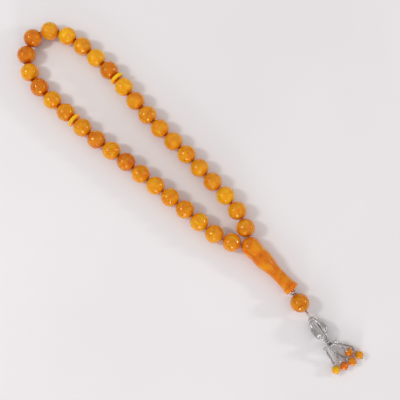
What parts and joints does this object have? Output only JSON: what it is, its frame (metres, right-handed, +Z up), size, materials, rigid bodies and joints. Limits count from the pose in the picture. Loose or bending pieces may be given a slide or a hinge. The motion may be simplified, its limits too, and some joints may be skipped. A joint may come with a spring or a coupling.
{
  "type": "misbaha prayer beads",
  "caption": "Looped strand of round beads on one cord, split by thin discs, ending in a turned head piece, an end bead and a silver tassel of chains with small beads.",
  "frame": {"origin": "on the floor, under the middle of the object's box", "axes": "+Y along the strand from the tassel to the far end of the loop, +Z up from the surface it lies on"},
  "size_m": [0.0436, 0.2527, 0.0107],
  "materials": {
    "bead_resin": "polished amber-coloured resin, slightly translucent, marbled from yellow-orange to deep orange",
    "disc_resin": "polished resin, paler yellow-orange",
    "imam_resin": "polished amber-coloured resin, turned, slightly translucent",
    "tassel_bead_resin": "polished amber-coloured resin",
    "thread": "twisted thread, dull",
    "silver": "polished silver, darker in its recesses"
  },
  "bodies": {
    "cord_and_imam": {"cord": "thread", "imam": "imam_resin", "stop_ring": "silver", "cord_knot": "thread"},
    "top_ring": {"top_ring": "silver"},
    "cage": {"tassel_neck": "silver", "cage": "silver", "tassel_collar": "silver", "rosette": "silver"},
    "chain_1": {"chain_1": "silver"},
    "pin_1": {"pin_1": "silver"},
    "tassel_bead_1": {"tassel_bead_1": "tassel_bead_resin"},
    "chain_2": {"chain_2": "silver"},
    "pin_2": {"pin_2": "silver"},
    "tassel_bead_2": {"tassel_bead_2": "tassel_bead_resin"},
    "chain_3": {"chain_3": "silver"},
    "pin_3": {"pin_3": "silver"},
    "tassel_bead_3": {"tassel_bead_3": "tassel_bead_resin"},
    "chain_4": {"chain_4": "silver"},
    "pin_4": {"pin_4": "silver"},
    "tassel_bead_4": {"tassel_bead_4": "tassel_bead_resin"},
    "chain_5": {"chain_5": "silver"},
    "pin_5": {"pin_5": "silver"},
    "tassel_bead_5": {"tassel_bead_5": "tassel_bead_resin"},
    "end_bead": {"end_bead": "bead_resin"},
    "bead_01": {"bead_01": "bead_resin"},
    "bead_02": {"bead_02": "bead_resin"},
    "bead_03": {"bead_03": "bead_resin"},
    "bead_04": {"bead_04": "bead_resin"},
    "bead_05": {"bead_05": "bead_resin"},
    "bead_06": {"bead_06": "bead_resin"},
    "bead_07": {"bead_07": "bead_resin"},
    "bead_08": {"bead_08": "bead_resin"},
    "bead_09": {"bead_09": "bead_resin"},
    "bead_10": {"bead_10": "bead_resin"},
    "bead_11": {"bead_11": "bead_resin"},
    "marker_disc_1": {"marker_disc_1": "disc_resin"},
    "bead_12": {"bead_12": "bead_resin"},
    "bead_13": {"bead_13": "bead_resin"},
    "bead_14": {"bead_14": "bead_resin"},
    "bead_15": {"bead_15": "bead_resin"},
    "bead_16": {"bead_16": "bead_resin"},
    "bead_17": {"bead_17": "bead_resin"},
    "bead_18": {"bead_18": "bead_resin"},
    "bead_19": {"bead_19": "bead_resin"},
    "bead_20": {"bead_20": "bead_resin"},
    "bead_21": {"bead_21": "bead_resin"},
    "bead_22": {"bead_22": "bead_resin"},
    "marker_disc_2": {"marker_disc_2": "disc_resin"},
    "bead_23": {"bead_23": "bead_resin"},
    "bead_24": {"bead_24": "bead_resin"},
    "bead_25": {"bead_25": "bead_resin"},
    "bead_26": {"bead_26": "bead_resin"},
    "bead_27": {"bead_27": "bead_resin"},
    "bead_28": {"bead_28": "bead_resin"},
    "bead_29": {"bead_29": "bead_resin"},
    "bead_30": {"bead_30": "bead_resin"},
    "bead_31": {"bead_31": "bead_resin"},
    "bead_32": {"bead_32": "bead_resin"},
    "bead_33": {"bead_33": "bead_resin"}
  },
  "joints": [
    {"name": "cage_lift", "type": "hinge", "parent": "top_ring", "child": "cage", "pos_m": [0.00124, -0.09015, 0.0046], "axis": [-0.9878, 0.156, 0], "range_deg": [0, 60]},
    {"name": "chain_1_lift", "type": "hinge", "parent": "cage", "child": "chain_1", "pos_m": [-0.00521, -0.10881, 0.0046], "axis": [-0.9716, 0.2367, 0], "range_deg": [0, 65]},
    {"name": "chain_2_lift", "type": "hinge", "parent": "cage", "child": "chain_2", "pos_m": [-0.00276, -0.1092, 0.00783], "axis": [-0.9982, 0.0604, 0], "range_deg": [0, 75]},
    {"name": "chain_3_lift", "type": "hinge", "parent": "cage", "child": "chain_3", "pos_m": [-0.0026, -0.10919, 0.00137], "axis": [-0.9888, -0.1494, 0], "range_deg": [0, 42]},
    {"name": "chain_4_lift", "type": "hinge", "parent": "cage", "child": "chain_4", "pos_m": [0.00115, -0.10979, 0.0066], "axis": [-0.9899, -0.1415, 0], "range_deg": [0, 80]},
    {"name": "chain_5_lift", "type": "hinge", "parent": "cage", "child": "chain_5", "pos_m": [0.00147, -0.10966, 0.0026], "axis": [-0.8239, -0.5668, 0], "range_deg": [0, 40]},
    {"name": "pin_1_lift", "type": "hinge", "parent": "chain_1", "child": "pin_1", "pos_m": [-0.00712, -0.11653, 0.00276], "axis": [-0.9421, 0.3353, 0], "range_deg": [0, 45]},
    {"name": "pin_2_lift", "type": "hinge", "parent": "chain_2", "child": "pin_2", "pos_m": [-0.00337, -0.11795, 0.00303], "axis": [-0.9932, 0.1164, 0], "range_deg": [0, 45]},
    {"name": "pin_3_lift", "type": "hinge", "parent": "chain_3", "child": "pin_3", "pos_m": [-0.00022, -0.11943, 0.00198], "axis": [-0.9404, -0.3401, 0], "range_deg": [0, 45]},
    {"name": "pin_4_lift", "type": "hinge", "parent": "chain_4", "child": "pin_4", "pos_m": [0.00243, -0.11522, 0.00375], "axis": [-0.9722, -0.2343, 0], "range_deg": [0, 45]},
    {"name": "pin_5_lift", "type": "hinge", "parent": "chain_5", "child": "pin_5", "pos_m": [0.006, -0.11943, 0.0022], "axis": [-0.9989, 0.0479, 0], "range_deg": [0, 45]},
    {"name": "ring_swing", "type": "hinge", "parent": "cord_and_imam", "child": "top_ring", "pos_m": [0.00143, -0.08891, 0.0046], "axis": [0, 0, 1], "range_deg": [-35, 35]},
    {"name": "spin_tassel_bead_1", "type": "hinge", "parent": "pin_1", "child": "tassel_bead_1", "pos_m": [-0.00813, -0.11937, 0.0022], "axis": [-0.3298, -0.9265, -0.1812], "continuous": true},
    {"name": "spin_tassel_bead_2", "type": "hinge", "parent": "pin_2", "child": "tassel_bead_2", "pos_m": [-0.00371, -0.12088, 0.0022], "axis": [-0.1121, -0.9565, -0.2694], "continuous": true},
    {"name": "spin_tassel_bead_3", "type": "hinge", "parent": "pin_3", "child": "tassel_bead_3", "pos_m": [0.00082, -0.12231, 0.0022], "axis": [0.3392, -0.938, 0.0713], "continuous": true},
    {"name": "spin_tassel_bead_4", "type": "hinge", "parent": "pin_4", "child": "tassel_bead_4", "pos_m": [0.00305, -0.1178, 0.0022], "axis": [0.2021, -0.8388, -0.5055], "continuous": true},
    {"name": "spin_tassel_bead_5", "type": "hinge", "parent": "pin_5", "child": "tassel_bead_5", "pos_m": [0.00585, -0.1225, 0.0022], "axis": [-0.0479, -0.9989, 0], "continuous": true},
    {"name": "spin_end_bead", "type": "hinge", "parent": "cord_and_imam", "child": "end_bead", "pos_m": [0.0024, -0.082, 0.005], "axis": [0.1847, 0.9828, 0], "continuous": true},
    {"name": "spin_bead_01", "type": "hinge", "parent": "cord_and_imam", "child": "bead_01", "pos_m": [0.00967, -0.0343, 0.00504], "axis": [0.4362, 0.8996, -0.0214], "continuous": true},
    {"name": "spin_bead_02", "type": "hinge", "parent": "cord_and_imam", "child": "bead_02", "pos_m": [0.01291, -0.02463, 0.005], "axis": [0.201, 0.9796, 0.0018], "continuous": true},
    {"name": "spin_bead_03", "type": "hinge", "parent": "cord_and_imam", "child": "bead_03", "pos_m": [0.01409, -0.01449, 0.005], "axis": [0.0569, 0.9984, 0], "continuous": true},
    {"name": "spin_bead_04", "type": "hinge", "parent": "cord_and_imam", "child": "bead_04", "pos_m": [0.01443, -0.00429, 0.005], "axis": [0.0124, 0.9999, 0], "continuous": true},
    {"name": "spin_bead_05", "type": "hinge", "parent": "cord_and_imam", "child": "bead_05", "pos_m": [0.01459, 0.00592, 0.005], "axis": [0.022, 0.9998, 0], "continuous": true},
    {"name": "spin_bead_06", "type": "hinge", "parent": "cord_and_imam", "child": "bead_06", "pos_m": [0.01477, 0.01613, 0.005], "axis": [0.0081, 1, 0], "continuous": true},
    {"name": "spin_bead_07", "type": "hinge", "parent": "cord_and_imam", "child": "bead_07", "pos_m": [0.01461, 0.02634, 0.005], "axis": [-0.0372, 0.9993, 0], "continuous": true},
    {"name": "spin_bead_08", "type": "hinge", "parent": "cord_and_imam", "child": "bead_08", "pos_m": [0.01434, 0.03654, 0.005], "axis": [-0.002, 1, 0], "continuous": true},
    {"name": "spin_bead_09", "type": "hinge", "parent": "cord_and_imam", "child": "bead_09", "pos_m": [0.01464, 0.04674, 0.005], "axis": [0.0541, 0.9985, 0], "continuous": true},
    {"name": "spin_bead_10", "type": "hinge", "parent": "cord_and_imam", "child": "bead_10", "pos_m": [0.01532, 0.05693, 0.005], "axis": [0.0793, 0.9968, 0], "continuous": true},
    {"name": "spin_bead_11", "type": "hinge", "parent": "cord_and_imam", "child": "bead_11", "pos_m": [0.01626, 0.0671, 0.005], "axis": [0.0945, 0.9955, 0], "continuous": true},
    {"name": "spin_marker_disc_1", "type": "hinge", "parent": "cord_and_imam", "child": "marker_disc_1", "pos_m": [0.01677, 0.07333, 0.005], "axis": [0.0442, 0.999, 0], "continuous": true},
    {"name": "spin_bead_12", "type": "hinge", "parent": "cord_and_imam", "child": "bead_12", "pos_m": [0.01682, 0.07959, 0.005], "axis": [-0.008, 1, 0], "continuous": true},
    {"name": "spin_bead_13", "type": "hinge", "parent": "cord_and_imam", "child": "bead_13", "pos_m": [0.01649, 0.08979, 0.005], "axis": [-0.0503, 0.9987, 0], "continuous": true},
    {"name": "spin_bead_14", "type": "hinge", "parent": "cord_and_imam", "child": "bead_14", "pos_m": [0.01568, 0.09997, 0.005], "axis": [-0.1176, 0.9931, 0], "continuous": true},
    {"name": "spin_bead_15", "type": "hinge", "parent": "cord_and_imam", "child": "bead_15", "pos_m": [0.01369, 0.10997, 0.005], "axis": [-0.2976, 0.9547, 0], "continuous": true},
    {"name": "spin_bead_16", "type": "hinge", "parent": "cord_and_imam", "child": "bead_16", "pos_m": [0.00872, 0.11889, 0.005], "axis": [-0.7136, 0.7006, 0], "continuous": true},
    {"name": "spin_bead_17", "type": "hinge", "parent": "cord_and_imam", "child": "bead_17", "pos_m": [-0.00086, 0.1224, 0.005], "axis": [-0.9954, -0.0959, 0], "continuous": true},
    {"name": "spin_bead_18", "type": "hinge", "parent": "cord_and_imam", "child": "bead_18", "pos_m": [-0.00989, 0.11766, 0.005], "axis": [-0.7, -0.7141, 0], "continuous": true},
    {"name": "spin_bead_19", "type": "hinge", "parent": "cord_and_imam", "child": "bead_19", "pos_m": [-0.0152, 0.10895, 0.005], "axis": [-0.3323, -0.9432, 0], "continuous": true},
    {"name": "spin_bead_20", "type": "hinge", "parent": "cord_and_imam", "child": "bead_20", "pos_m": [-0.01704, 0.09891, 0.005], "axis": [-0.0493, -0.9988, 0], "continuous": true},
    {"name": "spin_bead_21", "type": "hinge", "parent": "cord_and_imam", "child": "bead_21", "pos_m": [-0.0168, 0.08871, 0.005], "axis": [0.0671, -0.9977, 0], "continuous": true},
    {"name": "spin_bead_22", "type": "hinge", "parent": "cord_and_imam", "child": "bead_22", "pos_m": [-0.01624, 0.07851, 0.005], "axis": [0.049, -0.9988, 0], "continuous": true},
    {"name": "spin_marker_disc_2", "type": "hinge", "parent": "cord_and_imam", "child": "marker_disc_2", "pos_m": [-0.01592, 0.07226, 0.005], "axis": [0.0598, -0.9982, 0], "continuous": true},
    {"name": "spin_bead_23", "type": "hinge", "parent": "cord_and_imam", "child": "bead_23", "pos_m": [-0.01554, 0.06601, 0.005], "axis": [0.063, -0.998, 0], "continuous": true},
    {"name": "spin_bead_24", "type": "hinge", "parent": "cord_and_imam", "child": "bead_24", "pos_m": [-0.01457, 0.05586, 0.005], "axis": [0.1386, -0.9904, 0], "continuous": true},
    {"name": "spin_bead_25", "type": "hinge", "parent": "cord_and_imam", "child": "bead_25", "pos_m": [-0.01287, 0.04579, 0.005], "axis": [0.1726, -0.985, 0], "continuous": true},
    {"name": "spin_bead_26", "type": "hinge", "parent": "cord_and_imam", "child": "bead_26", "pos_m": [-0.01145, 0.03569, 0.005], "axis": [0.1094, -0.994, 0], "continuous": true},
    {"name": "spin_bead_27", "type": "hinge", "parent": "cord_and_imam", "child": "bead_27", "pos_m": [-0.01032, 0.02554, 0.005], "axis": [0.1191, -0.9929, 0], "continuous": true},
    {"name": "spin_bead_28", "type": "hinge", "parent": "cord_and_imam", "child": "bead_28", "pos_m": [-0.00903, 0.01541, 0.005], "axis": [0.1303, -0.9915, 0], "continuous": true},
    {"name": "spin_bead_29", "type": "hinge", "parent": "cord_and_imam", "child": "bead_29", "pos_m": [-0.00776, 0.00528, 0.005], "axis": [0.1168, -0.9932, 0], "continuous": true},
    {"name": "spin_bead_30", "type": "hinge", "parent": "cord_and_imam", "child": "bead_30", "pos_m": [-0.00664, -0.00487, 0.005], "axis": [0.1021, -0.9948, 0], "continuous": true},
    {"name": "spin_bead_31", "type": "hinge", "parent": "cord_and_imam", "child": "bead_31", "pos_m": [-0.00581, -0.01504, 0.005], "axis": [0.0649, -0.9979, 0], "continuous": true},
    {"name": "spin_bead_32", "type": "hinge", "parent": "cord_and_imam", "child": "bead_32", "pos_m": [-0.0045, -0.02516, 0.00499], "axis": [0.2203, -0.9754, -0.0022], "continuous": true},
    {"name": "spin_bead_33", "type": "hinge", "parent": "cord_and_imam", "child": "bead_33", "pos_m": [-0.00099, -0.03474, 0.00505], "axis": [0.4783, -0.8779, 0.0224], "continuous": true}
  ]
}
